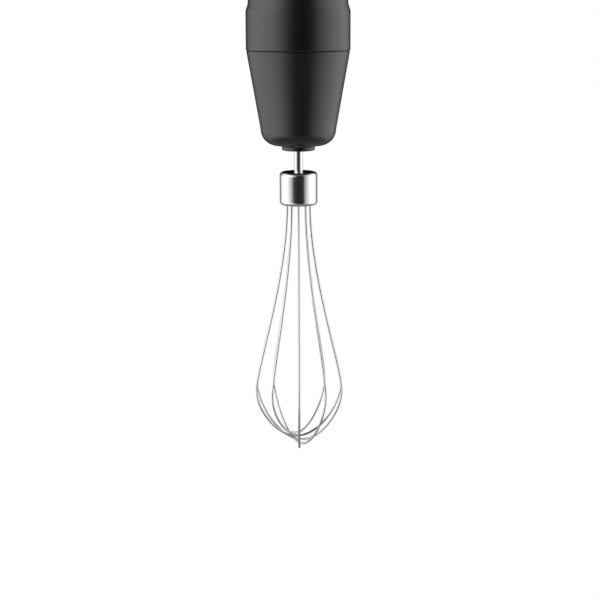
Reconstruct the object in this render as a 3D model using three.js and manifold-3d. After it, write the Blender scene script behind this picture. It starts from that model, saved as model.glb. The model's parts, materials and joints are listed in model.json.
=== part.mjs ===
// Immersion blender with a whisk attachment: motor unit, reduction gearbox and removable balloon whisk.
// Millimetres, +Z up, front (buttons) towards -Y. Heights are counted from the seam between the motor unit
// and the gearbox; the whole group is lowered at the end, so that its origin is the centre of the hand grip.
import * as THREE from "three";
import { mergeVertices } from "three/addons/utils/BufferGeometryUtils.js";
import Module from "manifold-3d";

const wasm = await Module();
wasm.setup();

// ---------------------------------------------------------------- driving dimensions

const GAP = 0.3; // between two pieces that touch
const WALL = 2.2; // plastic wall of the handle
const GRIP_CENTRE = 100; // height of the hand grip's centre

const BAND_RADIUS = 27.8; // round lower band of the handle
const BAND_TOP = 20;
const GRIP_RADIUS = 24.5; // half depth of the grip, front to back
const HEAD_RADIUS = 25.6; // half depth at the top of the handle
const LEDGE_TOP = 25; // end of the small step at the sides above the band
const LEDGE_PINCH = 0.955; // half width over half depth, above the ledge
const GRIP_PINCH = 0.915;
const CAP_BOTTOM = 160;
const CAP_TOP = 172;

const SOCKET_RADIUS = 19.3; // bore that the gearbox spigot slides into
const SOCKET_TOP = 14;
const CRADLE_BOTTOM = 14.5;
const SHAFT_RADIUS = 2.5;
const CAN_RADIUS = 18;
const CAN_BOTTOM = 24;
const CAN_TOP = 74;
const BELL_TOP = 88;
const CORE_RADIUS = 13.2;
const CORE_BOTTOM = 36;
const CORE_TOP = 60;
const SLOTS = 12;

const BUTTONS = {
  speed: { z: 112, radius: 8 },
  turbo: { z: 134, radius: 6.6 },
};
const BUTTON_STRETCH = 1.25; // height of a button over its width
const BOARD_FRONT = 0.4; // y of the circuit board's front face
const SWITCH_DEPTH = 6;
const BOSS_X = 15.5;
const BOSS_Z = 148;

const LEVER_PIVOT = { x: 22.8, z: 20 };
const LEVER_WIDTH = 9;
const PAD_BOTTOM = 27.2;
const PAD_TOP = 46.8;
const PAD_DEPTH = 3;

const CONE_TOP_RADIUS = 27.6;
const CONE_SLOPE = 0.176; // radius lost per millimetre of height
const CONE_BOTTOM = -41.6; // where the rounded lower corner starts
const CONE_CORNER = 8.6; // radius of that corner
const NECK_TOP = -50.3;
const NECK_BOTTOM = -52.9;
const NECK_RADIUS = 8.9;
const SPIGOT_RADIUS = 19;
const SPIGOT_TOP = 12;

const MODULE = 0.7;
const PRESSURE = THREE.MathUtils.degToRad(25);
const ADDENDUM = 0.8 * MODULE;
const DEDENDUM = 1.05 * MODULE;
const BACKLASH = 0.1; // taken off each tooth and added to each space
const TEETH = { sun: 9, planet: 21, ring: 51 };
const CARRIER_RADIUS = ((TEETH.sun + TEETH.planet) * MODULE) / 2;
const GEAR_TOP = -10;
const GEAR_BOTTOM = -20;
const PLANETS = 3;
const PIN_RADIUS = 1.8;

const STEM_RADIUS = 2.4; // whisk shaft
const COLLAR_RADIUS = 10.2;
const COLLAR_TOP = -64.4;
const COLLAR_BOTTOM = -82.4;
const WIRE_RADIUS = 0.65;
const WIRE_CIRCLE = 6.5; // where the wires leave the collar
const WIRE_END = -70.4;
const BALLOON_RADIUS = 24.7;
const BALLOON_WAIST = -185; // height of the widest point
const BALLOON_TIP = -219.3;
const LOOPS = 5;
const LOOP_STEP = 2.1; // each loop's tip lies this much above the last one's

const OVAL = 28; // sides of the handle
const ROUND = 24; // sides of a large circle
const SMALL_ROUND = 12; // sides of a small one

// ---------------------------------------------------------------- materials

function material(color, roughness, metalness) {
  return new THREE.MeshStandardMaterial({ color, roughness, metalness });
}

const blackPlastic = material(0x232325, 0.42, 0);
const darkPlastic = material(0x2b2b2e, 0.55, 0);
const softBlack = material(0x1c1c1d, 0.7, 0);
const greyPlastic = material(0x6d7074, 0.5, 0);
const ivoryPlastic = material(0xd9d4c5, 0.5, 0);
const polishedSteel = material(0xdadada, 0.15, 1);
const wireSteel = material(0xcfd0d1, 0.22, 1);
const zincSteel = material(0xa9abad, 0.4, 1);
const darkSteel = material(0x5b5d60, 0.5, 1);
const copper = material(0xb5653a, 0.35, 1);
const bronze = material(0xa67c3d, 0.4, 1);
const ferrite = material(0x36363a, 0.75, 0);
const graphite = material(0x2a2a2b, 0.8, 0);
const boardGreen = material(0x1f6b3c, 0.6, 0);
const capacitorYellow = material(0xd8a927, 0.5, 0);

// ---------------------------------------------------------------- shape helpers

function solidOf(geometry) {
  const bare = geometry.index ? geometry.toNonIndexed() : geometry.clone();
  bare.deleteAttribute("normal");
  bare.deleteAttribute("uv");
  const merged = mergeVertices(bare, 1e-4);
  const vertProperties = merged.attributes.position.array;
  const triVerts = new Uint32Array(merged.index.array);
  return new wasm.Manifold(new wasm.Mesh({ numProp: 3, vertProperties, triVerts }));
}

function geometryOf(solid) {
  const { vertProperties, triVerts } = solid.getMesh();
  const geometry = new THREE.BufferGeometry();
  geometry.setAttribute("position", new THREE.BufferAttribute(vertProperties, 3));
  geometry.setIndex(new THREE.BufferAttribute(triVerts, 1));
  return geometry;
}

function join(...solids) {
  return solids.reduce((whole, piece) => whole.add(piece));
}

function cut(solid, ...tools) {
  return tools.reduce((rest, tool) => rest.subtract(tool), solid);
}

// A turned solid about Z from [radius, height] points. A profile off the axis closes on itself.
// squeeze(z) narrows it in X, for the oval parts of the handle.
function turned(profile, segments = ROUND, squeeze = null) {
  const points = profile.map(([radius, z]) => new THREE.Vector2(radius, z));
  if (profile[0][0] > 0) points.push(points[0].clone());
  if (THREE.ShapeUtils.area(points) < 0) points.reverse();
  const geometry = new THREE.LatheGeometry(points, segments).rotateX(Math.PI / 2);
  if (squeeze) {
    const position = geometry.attributes.position;
    for (let i = 0; i < position.count; i++) position.setX(i, position.getX(i) * squeeze(position.getZ(i)));
  }
  return solidOf(geometry);
}

function rod(radius, bottom, top, segments = SMALL_ROUND) {
  return turned([[0, bottom], [radius, bottom], [radius, top], [0, top]], segments);
}

function ring(inner, outer, bottom, top, segments = ROUND) {
  return turned([[inner, bottom], [outer, bottom], [outer, top], [inner, top]], segments);
}

function box([x0, x1], [y0, y1], [z0, z1]) {
  const geometry = new THREE.BoxGeometry(x1 - x0, y1 - y0, z1 - z0);
  return solidOf(geometry.translate((x0 + x1) / 2, (y0 + y1) / 2, (z0 + z1) / 2));
}

// A rod from a to b, [x, y, z] each.
function rodBetween(a, b, radius, segments = SMALL_ROUND) {
  const start = new THREE.Vector3(...a);
  const along = new THREE.Vector3(...b).sub(start);
  const geometry = new THREE.CylinderGeometry(radius, radius, along.length(), segments);
  const up = new THREE.Vector3(0, 1, 0);
  const turn = new THREE.Quaternion().setFromUnitVectors(up, along.clone().normalize());
  geometry.applyQuaternion(turn);
  return solidOf(geometry.translate(...start.addScaledVector(along, 0.5).toArray()));
}

function hexRod(radius, bottom, top) {
  return rod(radius, bottom, top, 6);
}

// A flat outline in X and Y, raised from bottom to top.
function prism(outline, bottom, top) {
  const shape = new THREE.Shape(outline.map(([x, y]) => new THREE.Vector2(x, y)));
  const geometry = new THREE.ExtrudeGeometry(shape, { depth: top - bottom, bevelEnabled: false, steps: 1 });
  return solidOf(geometry.translate(0, 0, bottom));
}

// Wire of round section along a curve.
function wire(path, radius, steps, sides) {
  const section = new THREE.Shape();
  for (let i = 0; i < sides; i++) {
    const angle = (2 * Math.PI * i) / sides;
    const x = radius * Math.cos(angle);
    const y = radius * Math.sin(angle);
    if (i === 0) section.moveTo(x, y);
    else section.lineTo(x, y);
  }
  return solidOf(new THREE.ExtrudeGeometry(section, { steps, bevelEnabled: false, extrudePath: path }));
}

class Helix extends THREE.Curve {
  constructor(radius, length, turns) {
    super();
    this.radius = radius;
    this.length = length;
    this.turns = turns;
  }

  getPoint(t, target = new THREE.Vector3()) {
    const angle = 2 * Math.PI * this.turns * t;
    return target.set(this.radius * Math.cos(angle), this.radius * Math.sin(angle), this.length * t);
  }
}

// A coil spring standing on z = 0.
function coilSpring(radius, wireRadius, length, turns) {
  const path = new Helix(radius, length - 2 * wireRadius, turns);
  return wire(path, wireRadius, turns * 7, 4).translate([0, 0, wireRadius]);
}

// Points of a round stretch of a profile, angles in degrees from +radius towards +z.
function arc(radius, z, size, from, to, count) {
  return Array.from({ length: count + 1 }, (_, i) => {
    const angle = THREE.MathUtils.degToRad(from + ((to - from) * i) / count);
    return [radius + size * Math.cos(angle), z + size * Math.sin(angle)];
  });
}

function aroundZ(solid, degrees) {
  return solid.rotate([0, 0, degrees]);
}

// The same piece turned half round the axis.
function opposite(solid) {
  return aroundZ(solid, 180);
}

function node(group, name, solid, look) {
  const mesh = new THREE.Mesh(geometryOf(solid), look);
  mesh.name = name;
  group.add(mesh);
}

// ---------------------------------------------------------------- handle

function blend(z, from, to) {
  return THREE.MathUtils.smoothstep(z, from, to);
}

// Half depth of the handle, front to back.
function handleDepth(z) {
  const waisted = BAND_RADIUS + (GRIP_RADIUS - BAND_RADIUS) * blend(z, LEDGE_TOP, 80);
  return waisted + (HEAD_RADIUS - GRIP_RADIUS) * blend(z, 115, 156);
}

// Half width over half depth.
function handlePinch(z) {
  const ledge = 1 + (LEDGE_PINCH - 1) * blend(z, BAND_TOP, LEDGE_TOP);
  const waisted = ledge + (GRIP_PINCH - LEDGE_PINCH) * blend(z, LEDGE_TOP, 72);
  return waisted + (LEDGE_PINCH - GRIP_PINCH) * blend(z, 118, 156);
}

function handleWidth(z) {
  return handleDepth(z) * handlePinch(z);
}

const HANDLE_HEIGHTS = [BAND_TOP, LEDGE_TOP, 36, 50, 64, 80, 112, 128, 144, 156];

function handleSolid(inset, bottom, top) {
  const side = HANDLE_HEIGHTS.filter((z) => z > bottom && z < top).map((z) => [handleDepth(z) - inset, z]);
  const chamfer = inset > 0 ? [[BAND_RADIUS - inset, bottom]] : [[BAND_RADIUS - 0.5, bottom], [BAND_RADIUS, 0.8]];
  const profile = [[0, bottom], ...chamfer, ...side, [handleDepth(top) - inset, top], [0, top]];
  return turned(profile, OVAL, handlePinch);
}

const handleOuter = handleSolid(0, GAP / 2, CAP_BOTTOM - GAP);
const handleWall = cut(handleOuter, handleSolid(WALL, -1, CAP_BOTTOM + 1));

// Half of the wall, on the front (-1) or rear (+1) side of the parting plane.
function handleHalf(side) {
  const keep = side < 0 ? [-40, -GAP / 2] : [GAP / 2, 40];
  const half = box([-40, 40], keep, [-5, 180]);
  const bosses = [-BOSS_X, BOSS_X].map((x) => rodBetween([x, side * 0.4, BOSS_Z], [x, side * 19, BOSS_Z], 3.6));
  const padWindow = [PAD_BOTTOM - 0.6, PAD_TOP + 0.6];
  const window = box([-40, 40], [-LEVER_WIDTH / 2 - 0.4, LEVER_WIDTH / 2 + 0.4], padWindow);
  const walls = handleWall.intersect(half);
  return cut(join(walls, ...bosses.map((boss) => boss.intersect(handleOuter))), window);
}

function buttonShape(radius, from, to) {
  const stadium = rodBetween([0, from, 0], [0, to, 0], radius, 18);
  return stadium.scale([1, 1, BUTTON_STRETCH]);
}

function frontShell() {
  const apertures = Object.values(BUTTONS).map(({ z, radius }) =>
    buttonShape(radius + 0.4, -30, -15).translate([0, 0, z]),
  );
  const screwHoles = [-BOSS_X, BOSS_X].map((x) => rodBetween([x, 1, BOSS_Z], [x, -9, BOSS_Z], 1.3, 10));
  return cut(handleHalf(-1), ...apertures, ...screwHoles);
}

function ventRow(bottom, top) {
  return [-10, -5, 0, 5, 10].map((x) => box([x - 1.1, x + 1.1], [15, 30], [bottom, top]));
}

function rearShell() {
  const screwHoles = [-BOSS_X, BOSS_X].flatMap((x) => [
    rodBetween([x, -1, BOSS_Z], [x, 6, BOSS_Z], 1.3, 10),
    rodBetween([x, 5, BOSS_Z], [x, 30, BOSS_Z], 2.7, 14),
  ]);
  return cut(handleHalf(1), ...screwHoles, ...ventRow(25, 35), ...ventRow(118, 128));
}

function housingScrew(x) {
  const shank = rodBetween([x, -8, BOSS_Z], [x, 5.6, BOSS_Z], 1, 10);
  const head = rodBetween([x, 5.3, BOSS_Z], [x, 6.9, BOSS_Z], 2.3, 14);
  const driveSlot = box([x - 1.6, x + 1.6], [6.3, 7.5], [BOSS_Z - 0.3, BOSS_Z + 0.3]);
  return cut(join(shank, head), driveSlot);
}

function topCap() {
  const edge = 5;
  const rim = HEAD_RADIUS - 0.1;
  const profile = [
    [0, CAP_TOP],
    ...arc(rim - edge, CAP_TOP - edge, edge, 90, 0, 3),
    [HEAD_RADIUS, CAP_BOTTOM],
    [HEAD_RADIUS - WALL - 0.4, CAP_BOTTOM],
    [HEAD_RADIUS - WALL - 0.4, CAP_BOTTOM - 5],
    [HEAD_RADIUS - WALL - 2.2, CAP_BOTTOM - 5],
    [HEAD_RADIUS - WALL - 2.2, CAP_TOP - 6.5],
    [rim - edge - WALL, CAP_TOP - WALL],
    [0, CAP_TOP - WALL],
  ];
  return cut(turned(profile, OVAL, handlePinch), rod(5.8, CAP_BOTTOM, CAP_TOP + 1, 24));
}

function cordGland() {
  const bore = 4.2;
  const profile = [
    [bore, 163],
    [8, 163],
    [8, 165],
    [5.5, 165],
    [5.5, CAP_TOP + 1],
    [5, CAP_TOP + 1.5],
    [bore, CAP_TOP + 1.5],
  ];
  return turned(profile, 24);
}

// ---------------------------------------------------------------- coupling socket and motor cradle

// A box through the piece on both sides, where the release levers pass.
function leverSlots([x0, x1], [z0, z1]) {
  const half = LEVER_WIDTH / 2 + GAP;
  const slot = box([x0, x1], [-half, half], [z0, z1]);
  return [slot, opposite(slot)];
}

function lockingRing() {
  const body = ring(SOCKET_RADIUS, BAND_RADIUS - WALL - 0.4, 0.45, SOCKET_TOP);
  return cut(body, ...leverSlots([20.9, 26], [2.5, 15]), ...leverSlots([18, 21], [3, 9]));
}

function motorCradle() {
  const body = turned([
    [4.4, CRADLE_BOTTOM],
    [BAND_RADIUS - WALL - 0.7, CRADLE_BOTTOM],
    [BAND_RADIUS - WALL - 0.7, 16.5],
    [22.2, 16.5],
    [22.2, 28],
    [20.9, 28],
    [20.9, 22.2],
    [18.5, 22.2],
    [18.5, 20.7],
    [20.9, 20.7],
    [20.9, 16.5],
    [4.4, 16.5],
  ]);
  const ear = box([21, 24.2], [LEVER_WIDTH / 2 + GAP, LEVER_WIDTH / 2 + GAP + 2], [16, 22]);
  const ears = [ear, ear.mirror([0, 1, 0])];
  const pivots = rodBetween([LEVER_PIVOT.x, -9, LEVER_PIVOT.z], [LEVER_PIVOT.x, 9, LEVER_PIVOT.z], 1.3, 10);
  const airWindows = [45, 135, 225, 315].map((angle) => aroundZ(box([19.5, 24], [-6, 6], [17, 20]), angle));
  const open = cut(body, ...leverSlots([19.8, 26], [14, 29]), ...airWindows);
  return cut(join(open, ...ears, ...ears.map(opposite)), pivots, opposite(pivots));
}

function shaftSeal() {
  return ring(SHAFT_RADIUS + GAP, 4.1, 14.2, 16.8, SMALL_ROUND);
}

// Release lever on the +X side: outer pad, arm and hook, with trunnions at its pivot.
function releaseLever() {
  const proud = 0.4;
  const padHeights = [PAD_BOTTOM, 32, 37, 42, PAD_TOP];
  const outline = [
    [21.8, 3.6],
    [23.2, 3.6],
    [23.2, 25.2],
    [23.6, PAD_BOTTOM],
    ...padHeights.map((z) => [handleWidth(z) + proud, z]),
    [handleWidth(PAD_TOP) - PAD_DEPTH, PAD_TOP],
    [22.2, 29],
    [21.8, 24],
    [21.8, 7.2],
    [19.6, 7.2],
    [19.6, 5.6],
  ];
  const blade = prism(outline, -LEVER_WIDTH / 2, LEVER_WIDTH / 2).rotate([90, 0, 0]);
  const { x, z } = LEVER_PIVOT;
  return join(blade, rodBetween([x, -6.6, z], [x, 6.6, z], 1, 10));
}

function releaseSpring() {
  const start = CAN_RADIUS + 0.4;
  const end = handleWidth(PAD_TOP) - PAD_DEPTH - 2 * GAP;
  const coil = coilSpring(2.2, 0.35, end - start, 3);
  return coil.rotate([0, 90, 0]).translate([start, 0, 39]);
}

// ---------------------------------------------------------------- motor

function motorCan() {
  return turned([
    [5.3, CAN_BOTTOM],
    [CAN_RADIUS, CAN_BOTTOM],
    [CAN_RADIUS, CAN_TOP],
    [CAN_RADIUS - 1.5, CAN_TOP],
    [CAN_RADIUS - 1.5, CAN_BOTTOM + 1.5],
    [7, CAN_BOTTOM + 1.5],
    [7, CAN_BOTTOM + 5],
    [5.3, CAN_BOTTOM + 5],
  ]);
}

function motorEndBell() {
  const body = turned([
    [CAN_RADIUS - 0.2, CAN_TOP + GAP],
    [CAN_RADIUS - 0.2, BELL_TOP - 1.5],
    [CAN_RADIUS - 1.7, BELL_TOP],
    [4.8, BELL_TOP],
    [4.8, BELL_TOP - 5],
    [6.5, BELL_TOP - 5],
    [6.5, BELL_TOP - 2],
    [CAN_RADIUS - 2, BELL_TOP - 2],
    [CAN_RADIUS - 2, CAN_TOP + GAP],
  ]);
  const vents = [45, 135, 225, 315].map((angle) => aroundZ(box([9, 14], [-3, 3], [80, 92]), angle));
  return cut(body, ...vents);
}

function magnet(centre) {
  const spread = THREE.MathUtils.degToRad(55);
  const shape = new THREE.Shape();
  shape.absarc(0, 0, CAN_RADIUS - 1.8, centre - spread, centre + spread, false);
  shape.absarc(0, 0, CORE_RADIUS + 0.7, centre + spread, centre - spread, true);
  const geometry = new THREE.ExtrudeGeometry(shape, { depth: 34, bevelEnabled: false, curveSegments: 8 });
  return solidOf(geometry.translate(0, 0, 31));
}

function lowerMotorMount() {
  return turned([
    [13, 22.5],
    [20.6, 22.5],
    [20.6, 32],
    [CAN_RADIUS + GAP, 32],
    [CAN_RADIUS + GAP, 23.7],
    [13, 23.7],
  ]);
}

function upperMotorMount() {
  const pad = turned([[0, 75], [GRIP_RADIUS - WALL - 0.3, 75], [GRIP_RADIUS - WALL - 0.3, 82], [0, 82]], OVAL, handlePinch);
  return cut(pad, rod(CAN_RADIUS + 0.1, 70, 85, ROUND));
}

function brush() {
  return box([-2.2, 2.2], [6.6, 11.5], [76.8, 81.2]);
}

function brushSpring() {
  return coilSpring(1.6, 0.3, 3.9, 3).rotate([-90, 0, 0]).translate([0, 11.8, 79]);
}

function armatureCore() {
  const slots = Array.from({ length: SLOTS }, (_, i) =>
    aroundZ(box([7.5, 15], [-1.4, 1.4], [30, 70]), (360 * i) / SLOTS),
  );
  return cut(ring(SHAFT_RADIUS + GAP, CORE_RADIUS, CORE_BOTTOM, CORE_TOP, 36), ...slots);
}

function armatureWindings() {
  const bars = Array.from({ length: SLOTS }, (_, i) =>
    aroundZ(box([8, 12.4], [-1.1, 1.1], [CORE_BOTTOM - 2, CORE_TOP + 2]), (360 * i) / SLOTS),
  );
  const endTurn = (near, far) =>
    turned([[7.4, near], [12.7, near], [12.7, (near + 2 * far) / 3], [11.2, far], [7.4, far]], 18);
  const lower = endTurn(CORE_BOTTOM - GAP, CORE_BOTTOM - 5.5);
  return join(endTurn(CORE_TOP + GAP, CORE_TOP + 5.5), lower, ...bars);
}

function coolingFan() {
  const disc = ring(SHAFT_RADIUS + GAP, 17.5, 17, 18, 24);
  const hub = ring(SHAFT_RADIUS + GAP, 6, 17.5, 21.5, SMALL_ROUND);
  const blades = Array.from({ length: 9 }, (_, i) => aroundZ(box([5.6, 17], [-0.5, 0.5], [17.5, 21.3]), 40 * i));
  return join(disc, hub, ...blades);
}

function driveDog() {
  const tip = hexRod(4.2, 3, 10.4);
  const collar = rod(5.5, 10.4, 13.8);
  return cut(join(tip, collar), rod(SHAFT_RADIUS + GAP, 8, 15));
}

// ---------------------------------------------------------------- controls

function button({ z, radius }) {
  const face = -handleDepth(z) - 0.8;
  const flange = -Math.sqrt((handleDepth(z) - WALL) ** 2 - ((radius + 1.5) / GRIP_PINCH) ** 2) + 0.5;
  const stemEnd = BOARD_FRONT - 0.3 - SWITCH_DEPTH - 1.6 - 2.3;
  const profile = [
    [0, -face],
    [radius * 0.6, -face - 0.2],
    [radius - 0.7, -face - 0.8],
    [radius, -face - 1.6],
    [radius, -flange],
    [radius + 1.5, -flange],
    [radius + 1.5, -flange - 1.2],
    [2.2, -flange - 1.2],
    [2.2, -stemEnd],
    [0, -stemEnd],
  ];
  return turned(profile, 18).rotate([90, 0, 0]).scale([1, 1, BUTTON_STRETCH]).translate([0, 0, z]);
}

function buttonSpring({ z, radius }) {
  const flange = -Math.sqrt((handleDepth(z) - WALL) ** 2 - ((radius + 1.5) / GRIP_PINCH) ** 2) + 0.5;
  const start = BOARD_FRONT - GAP - SWITCH_DEPTH - GAP;
  const length = start - (flange + 1.2) - GAP;
  return coilSpring(4, 0.4, length, 5).rotate([90, 0, 0]).translate([0, start, z]);
}

function buttonSwitch({ z }) {
  const back = BOARD_FRONT - GAP;
  const body = box([-5.5, 5.5], [back - SWITCH_DEPTH, back], [z - 6, z + 6]);
  return join(body, rodBetween([0, back - SWITCH_DEPTH + 1, z], [0, back - SWITCH_DEPTH - 1.6, z], 1.5, 10));
}

function circuitBoard() {
  return box([-11.5, 11.5], [BOARD_FRONT, BOARD_FRONT + 1.6], [96, 144]);
}

// ---------------------------------------------------------------- gears

function involute(angle) {
  return Math.tan(angle) - angle;
}

// Half the angle that a tooth fills at a radius, from its thickness on the pitch circle.
function halfAngle(teeth, thickness, radius) {
  const pitch = (teeth * MODULE) / 2;
  const base = pitch * Math.cos(PRESSURE);
  const slope = Math.acos(base / Math.max(radius, base));
  return thickness / (2 * pitch) + involute(PRESSURE) - involute(slope);
}

// The outline of a wheel whose teeth pass through the given radii, root first, one tooth at angle 0.
function gearOutline(teeth, thickness, radii) {
  const points = [];
  for (let tooth = 0; tooth < teeth; tooth++) {
    const centre = (2 * Math.PI * tooth) / teeth;
    const rising = radii.map((radius) => [radius, centre - halfAngle(teeth, thickness, radius)]);
    const falling = radii.map((radius) => [radius, centre + halfAngle(teeth, thickness, radius)]).reverse();
    for (const [radius, angle] of [...rising, ...falling])
      points.push([radius * Math.cos(angle), radius * Math.sin(angle)]);
  }
  return points;
}

function toothedWheel(teeth, bottom, top) {
  const pitch = (teeth * MODULE) / 2;
  const thickness = (Math.PI * MODULE) / 2 - BACKLASH;
  const radii = teeth > TEETH.sun ? [pitch - DEDENDUM, pitch + ADDENDUM] : [pitch - DEDENDUM, pitch, pitch + ADDENDUM];
  return prism(gearOutline(teeth, thickness, radii), bottom, top);
}

// Inner radius of the gearbox housing.
function coneBore(z) {
  if (z > -3.6) return 25.3;
  if (z > GEAR_BOTTOM - GAP) return CONE_TOP_RADIUS - 2 + CONE_SLOPE * z;
  return 20.3 + 0.109 * (z - GEAR_BOTTOM);
}

function keyBar(inner, width, bottom, top) {
  const bar = box([inner, 23], [-width / 2, width / 2], [bottom, top]);
  return [60, 180, 300].map((angle) => aroundZ(bar, angle));
}

function ringGear() {
  const pitch = (TEETH.ring * MODULE) / 2;
  const space = (Math.PI * MODULE) / 2 + BACKLASH;
  const spaces = gearOutline(TEETH.ring, space, [pitch - ADDENDUM, pitch + DEDENDUM]);
  const blank = turned([
    [0, GEAR_TOP],
    [coneBore(GEAR_TOP) - GAP, GEAR_TOP],
    [coneBore(GEAR_BOTTOM) - GAP, GEAR_BOTTOM],
    [0, GEAR_BOTTOM],
  ]);
  return cut(blank, prism(spaces, GEAR_BOTTOM - 1, GEAR_TOP + 1), ...keyBar(20.2, 3, GEAR_BOTTOM - 1, GEAR_TOP + 1));
}

function planetGear(angle) {
  const wheel = toothedWheel(TEETH.planet, GEAR_BOTTOM + GAP, GEAR_TOP - GAP);
  const bored = cut(wheel, rod(PIN_RADIUS + GAP, -25, 0));
  return aroundZ(bored.translate([CARRIER_RADIUS, 0, 0]), angle);
}

// ---------------------------------------------------------------- gearbox

function screwPosts(radius, bottom, top) {
  return [22, -22].map((y) => rod(radius, bottom, top).translate([0, y, 0]));
}

function gearboxHousing() {
  const cornerRadius = CONE_TOP_RADIUS + CONE_SLOPE * CONE_BOTTOM;
  const rim = -GAP / 2;
  const body = turned([
    [25.3, rim],
    [CONE_TOP_RADIUS, rim],
    ...arc(cornerRadius - CONE_CORNER, CONE_BOTTOM, CONE_CORNER, -10, -80, 4),
    [NECK_RADIUS, NECK_TOP],
    [NECK_RADIUS, NECK_BOTTOM],
    [7, NECK_BOTTOM],
    [7, -41],
    [8.85, -41],
    [8.85, -47.6],
    [13.2, -47.4],
    [16.4, -45],
    [coneBore(CONE_BOTTOM), CONE_BOTTOM],
    [coneBore(GEAR_BOTTOM - GAP), GEAR_BOTTOM - GAP],
    [CONE_TOP_RADIUS - 2 + CONE_SLOPE * (GEAR_BOTTOM - GAP), GEAR_BOTTOM - GAP],
    [CONE_TOP_RADIUS - 2 - CONE_SLOPE * 3.6, -3.6],
    [25.3, -3.6],
  ]);
  const envelope = turned([[0, rim], [CONE_TOP_RADIUS - 1, rim], [19, CONE_BOTTOM], [0, CONE_BOTTOM]]);
  const keys = keyBar(20.6, 2.2, GEAR_BOTTOM - 1, GEAR_TOP - 0.5);
  const posts = screwPosts(2.9, GEAR_TOP + 0.7, -3.6);
  const threads = screwPosts(1.3, GEAR_TOP, -3);
  return cut(join(body, ...[...keys, ...posts].map((piece) => piece.intersect(envelope))), ...threads);
}

function gearboxCover() {
  const body = turned([
    [5.3, -6],
    [7.3, -6],
    [7.3, -3.3],
    [17.4, -3.3],
    [17.4, GEAR_TOP + GAP],
    [18.7, GEAR_TOP + GAP],
    [18.7, -3.3],
    [25, -3.3],
    [25, -0.4],
    [SPIGOT_RADIUS, -0.4],
    [SPIGOT_RADIUS, 4.8],
    [SPIGOT_RADIUS - 1.1, 4.8],
    [SPIGOT_RADIUS - 1.1, 8],
    [SPIGOT_RADIUS, 8],
    [SPIGOT_RADIUS, SPIGOT_TOP - 0.8],
    [SPIGOT_RADIUS - 0.8, SPIGOT_TOP],
    [SPIGOT_RADIUS - 2.6, SPIGOT_TOP],
    [SPIGOT_RADIUS - 2.6, -0.4],
    [5.3, -0.4],
  ]);
  return cut(body, ...screwPosts(2.5, -2.2, 1), ...screwPosts(1.3, -5, 1));
}

function coverScrew() {
  const head = rod(2.2, -1.9, -0.6, 12);
  const driveSlot = box([-1.6, 1.6], [-0.3, 0.3], [-1.1, 0]);
  return cut(join(head, rod(1, -9, -1.8, 10)), driveSlot).translate([0, 22, 0]);
}

function inputPinion() {
  const cup = rod(7.5, 1, 9.6, 24);
  const journal = rod(3, GEAR_TOP + 0.4, 1.5);
  const teeth = toothedWheel(TEETH.sun, GEAR_BOTTOM - 0.4, GEAR_TOP + 0.4);
  return cut(join(cup, journal, teeth), hexRod(4.9, 2.2, 12));
}

function inputBush() {
  return turned([[3.3, -5.8], [5, -5.8], [5, -0.1], [7, -0.1], [7, 0.5], [3.3, 0.5]], SMALL_ROUND);
}

function planetCarrier() {
  const body = turned([
    [0, -21],
    [15, -21],
    [15, -24.5],
    [7.5, -24.5],
    [7.5, -39.2],
    [5.5, -39.2],
    [5.5, -51.9],
    [0, -51.9],
  ]);
  const pin = rod(PIN_RADIUS, -22, -9.2, 12).translate([CARRIER_RADIUS, 0, 0]);
  const pins = Array.from({ length: PLANETS }, (_, i) => aroundZ(pin, (360 * i) / PLANETS));
  return cut(join(body, ...pins), hexRod(2.95, -53, -30));
}

function outputBush() {
  return turned([[5.8, -52], [6.7, -52], [6.7, -40.7], [8.6, -40.7], [8.6, -39.5], [5.8, -39.5]], 24);
}

// ---------------------------------------------------------------- whisk

function whiskShaft() {
  return join(hexRod(STEM_RADIUS, -50, -31), rod(STEM_RADIUS, -79, -50));
}

function whiskCollar() {
  const edge = 2;
  const wall = 0.9;
  const r = COLLAR_RADIUS;
  return turned([
    [STEM_RADIUS + GAP, COLLAR_TOP],
    ...arc(r - edge, COLLAR_TOP - edge, edge, 90, 0, 2),
    ...arc(r - edge, COLLAR_BOTTOM + edge, edge, 0, -90, 2),
    [r - edge, COLLAR_BOTTOM + wall],
    [r - wall, COLLAR_BOTTOM + edge],
    [r - wall, COLLAR_TOP - edge],
    [r - edge, COLLAR_TOP - wall],
    [STEM_RADIUS + GAP, COLLAR_TOP - wall],
  ]);
}

function wireHolder() {
  const body = ring(STEM_RADIUS + GAP, COLLAR_RADIUS - 1.2, COLLAR_BOTTOM + 2.6, COLLAR_TOP - 2.3);
  const hole = rod(WIRE_RADIUS + GAP, COLLAR_BOTTOM, WIRE_END + 0.5, 6).translate([0, WIRE_CIRCLE, 0]);
  const holes = Array.from({ length: 2 * LOOPS }, (_, i) => aroundZ(hole, (180 * i) / LOOPS));
  return cut(body, ...holes);
}

// One side of a loop in the YZ plane, from its end in the holder to its tip on the axis.
function loopSide(tip, side) {
  const at = (y, z) => new THREE.Vector3(0, side * y, z);
  const mouth = at(WIRE_CIRCLE, COLLAR_BOTTOM);
  const waist = at(BALLOON_RADIUS, BALLOON_WAIST);
  return [
    new THREE.LineCurve3(at(WIRE_CIRCLE, WIRE_END), mouth),
    new THREE.CubicBezierCurve3(mouth, at(6.3, -122), at(BALLOON_RADIUS, -172), waist),
    new THREE.CubicBezierCurve3(waist, at(BALLOON_RADIUS, -195.5), at(13, tip), at(0, tip)),
  ];
}

function reversed(curve) {
  const flipped = curve.clone();
  if (curve.isLineCurve3) [flipped.v1, flipped.v2] = [curve.v2, curve.v1];
  else [flipped.v0, flipped.v1, flipped.v2, flipped.v3] = [curve.v3, curve.v2, curve.v1, curve.v0];
  return flipped;
}

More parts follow.
